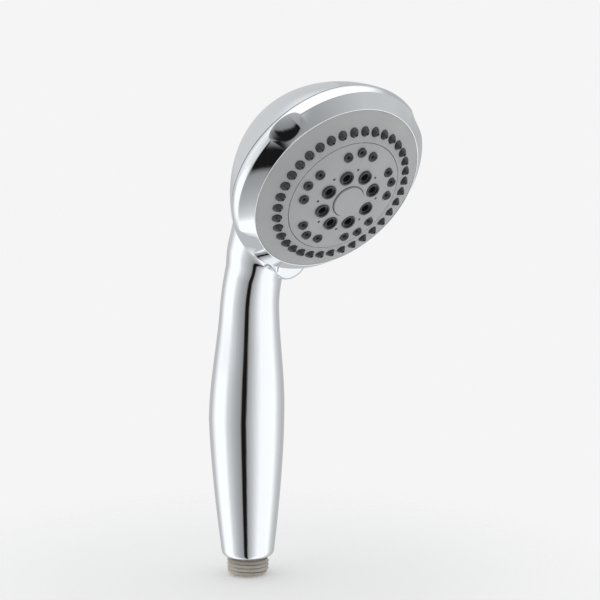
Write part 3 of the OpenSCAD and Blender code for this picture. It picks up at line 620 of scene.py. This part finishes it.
# ---------------------------------------------------------------------------
# Inner works. White acetal water parts, steel screws, springs and filter, and
# a blue turbine, all hidden when the head is closed.
# ---------------------------------------------------------------------------
# White acetal: a waxy off-white with slow, soft clouding from the mould.
white, tree, shader, place = new_finish("white_acetal")
cloud = put(tree, "ShaderNodeTexNoise", {"Vector": place, "Scale": 110.0, "Detail": 3.0})
tint = put(tree, "ShaderNodeMix", {"Factor": cloud.outputs["Fac"], "A": hex_colour("#dcdcd5"),
                                   "B": hex_colour("#ecece8")}, data_type="RGBA")
shader.inputs["Roughness"].default_value = 0.4
tree.links.new(tint.outputs["Result"], shader.inputs["Base Color"])
# Stainless steel, drawn and tumbled: bright, with fine drawing lines.
steel, tree, shader, place = new_finish("drawn_stainless_steel")
lines = put(tree, "ShaderNodeTexNoise", {"Vector": place, "Scale": 1800.0, "Detail": 2.0})
drawn = put(tree, "ShaderNodeMapRange", {"Value": lines.outputs["Fac"], "To Min": 0.2, "To Max": 0.38})
shader.inputs["Base Color"].default_value = hex_colour("#c4c7c9")
shader.inputs["Metallic"].default_value = 1.0
tree.links.new(drawn.outputs["Result"], shader.inputs["Roughness"])
# Glass-filled nylon: slate blue with pale flecks of fibre, 0.5 mm apart.
nylon, tree, shader, place = new_finish("slate_blue_nylon")
fleck = put(tree, "ShaderNodeTexNoise", {"Vector": place, "Scale": 2000.0, "Detail": 1.0})
tint = put(tree, "ShaderNodeMix", {"Factor": fleck.outputs["Fac"], "A": hex_colour("#527280"),
                                   "B": hex_colour("#7897a3")}, data_type="RGBA")
shader.inputs["Roughness"].default_value = 0.42
tree.links.new(tint.outputs["Result"], shader.inputs["Base Color"])
for finish, names in ((white, ("flow_restrictor", "waterway_tube", "valve_body", "chamber_plate",
                               "diverter_disc", "turbine_guide")),
                      (steel, ("filter_screen", "seal_spring", "body_screws", "centre_screw",
                               "centre_washer", "detent_spring", "detent_plunger")),
                      (nylon, ("turbine",))):
    for name in names:
        cad = frame["nodes"][name]
        cad.data.materials.clear()
        cad.data.materials.append(finish)

# ---------------------------------------------------------------------------
# Studio: a pale round table top that fades into a pale room, a white panel on
# each side, and a narrow dark gap beside the camera. The camera stands a
# little above the head, to the left of the spray.
# ---------------------------------------------------------------------------
camera_azimuth, camera_elevation, camera_roll, camera_distance = -34.86, 7.011, -0.357, 0.9
azimuth, elevation, roll = (math.radians(a) for a in (camera_azimuth, camera_elevation, camera_roll))
towards_camera = Vector((math.sin(azimuth) * math.cos(elevation), -math.cos(azimuth) * math.cos(elevation),
                         math.sin(elevation)))
right = Vector((math.cos(azimuth), math.sin(azimuth), 0))
up = towards_camera.cross(right)
rolled_right = right * math.cos(roll) + up * math.sin(roll)
rolled_up = up * math.cos(roll) - right * math.sin(roll)
aim = Vector((0.02274, -0.01584, 0.14173))
camera_data = bpy.data.cameras.new("camera")
camera_data.lens, camera_data.sensor_width = 106.31, 36.0
camera_data.clip_start = 0.01
camera = bpy.data.objects.new("camera", camera_data)
camera.matrix_world = Matrix.Translation(aim + towards_camera * camera_distance) @ Matrix(
    (rolled_right, rolled_up, towards_camera)).transposed().to_4x4()
bpy.context.scene.collection.objects.link(camera)
bpy.context.scene.camera = camera

table_r = 0.24
table_spot = Matrix.Translation((0, -0.03, -0.0006))
bm = bmesh.new()
bmesh.ops.create_circle(bm, cap_ends=True, segments=96, radius=table_r, matrix=table_spot)
table_mesh = bpy.data.meshes.new("table_top")
bm.to_mesh(table_mesh)
bm.free()
table_top = bpy.data.objects.new("table_top", table_mesh)
bpy.context.scene.collection.objects.link(table_top)
paper, tree, shader, place = new_finish("pale_paper")
shader.inputs["Base Color"].default_value = hex_colour("#f4f4f4")
shader.inputs["Roughness"].default_value = 0.9
spread = put(tree, "ShaderNodeVectorMath", {0: place}, operation="LENGTH")
fade = put(tree, "ShaderNodeMapRange", {"Value": spread.outputs["Value"], "From Min": 0.09, "From Max": 0.2,
                                        "To Min": 0.75, "To Max": 0.0})
tree.links.new(fade.outputs["Result"], shader.inputs["Alpha"])
table_mesh.materials.append(paper)
table_top.visible_glossy = False

room = bpy.data.worlds.new("studio")
room.use_nodes = True
tree = room.node_tree
backdrop = tree.nodes["Background"]
way = put(tree, "ShaderNodeSeparateXYZ", {0: put(tree, "ShaderNodeTexCoord").outputs["Generated"]})
back = put(tree, "ShaderNodeMath", {0: way.outputs["Y"], 1: -1.0}, operation="MULTIPLY")
around = put(tree, "ShaderNodeMath", {0: way.outputs["X"], 1: back.outputs[0]}, operation="ARCTAN2")
turned = put(tree, "ShaderNodeMath", {0: around.outputs[0], 1: azimuth}, operation="SUBTRACT")
wrapped = put(tree, "ShaderNodeMath", {0: turned.outputs[0], 1: math.pi, 2: -math.pi}, operation="WRAP")
share = put(tree, "ShaderNodeMapRange", {"Value": wrapped.outputs[0], "From Min": -math.pi,
                                         "From Max": math.pi})
low_tones = ((-180, 0.55), (-135, 0.55), (-108, 1.15), (-72, 1.15), (-60, 0.75), (-40, 0.5),
             (-18, 0.32), (-14, 0.01), (-2, 0.01), (3, 0.38), (18, 0.6), (45, 1.1), (95, 1.15),
             (115, 0.7), (138, 0.52), (180, 0.55))
high_tones = ((-180, 0.62), (-135, 0.7), (-100, 1.0), (-60, 0.85), (-30, 0.45), (-14, 0.25),
              (-12, 0.01), (-3, 0.01), (0, 0.3), (30, 0.4), (70, 0.6), (100, 0.62), (140, 0.5),
              (180, 0.55))
bands = []
for tones in (low_tones, high_tones):
    walls = put(tree, "ShaderNodeValToRGB", {"Fac": share.outputs["Result"]})
    ramp = walls.color_ramp
    while len(ramp.elements) < len(tones):
        ramp.elements.new(0.5)
    for element, (angle, tone) in zip(ramp.elements, tones):
        element.position = (angle + 180) / 360
    for element, (angle, tone) in zip(ramp.elements, tones):
        element.color = (tone * 0.985, tone, tone * 1.015, 1)
    bands.append(walls.outputs["Color"])
horizon = put(tree, "ShaderNodeMapRange", {"Value": way.outputs["Z"], "From Min": -0.08, "From Max": 0.08},
              interpolation_type="SMOOTHSTEP")
sides = put(tree, "ShaderNodeMix", {"Factor": horizon.outputs["Result"], "A": bands[0], "B": bands[1]},
            data_type="RGBA")
overhead = put(tree, "ShaderNodeMapRange", {"Value": way.outputs["Z"], "From Min": 0.5, "From Max": 0.8},
               interpolation_type="SMOOTHSTEP")
lit = put(tree, "ShaderNodeMix", {"Factor": overhead.outputs["Result"], "A": sides.outputs["Result"],
                                  "B": (1.2, 1.2, 1.2, 1)}, data_type="RGBA")
sight = put(tree, "ShaderNodeLightPath")
final = put(tree, "ShaderNodeMix", {"Factor": sight.outputs["Is Camera Ray"], "A": lit.outputs["Result"],
                                    "B": hex_colour("#f5f5f5")}, data_type="RGBA")
tree.links.new(final.outputs["Result"], backdrop.inputs["Color"])
bpy.context.scene.world = room
bpy.context.scene.view_settings.view_transform = "Standard"

bpy.context.view_layer.update()
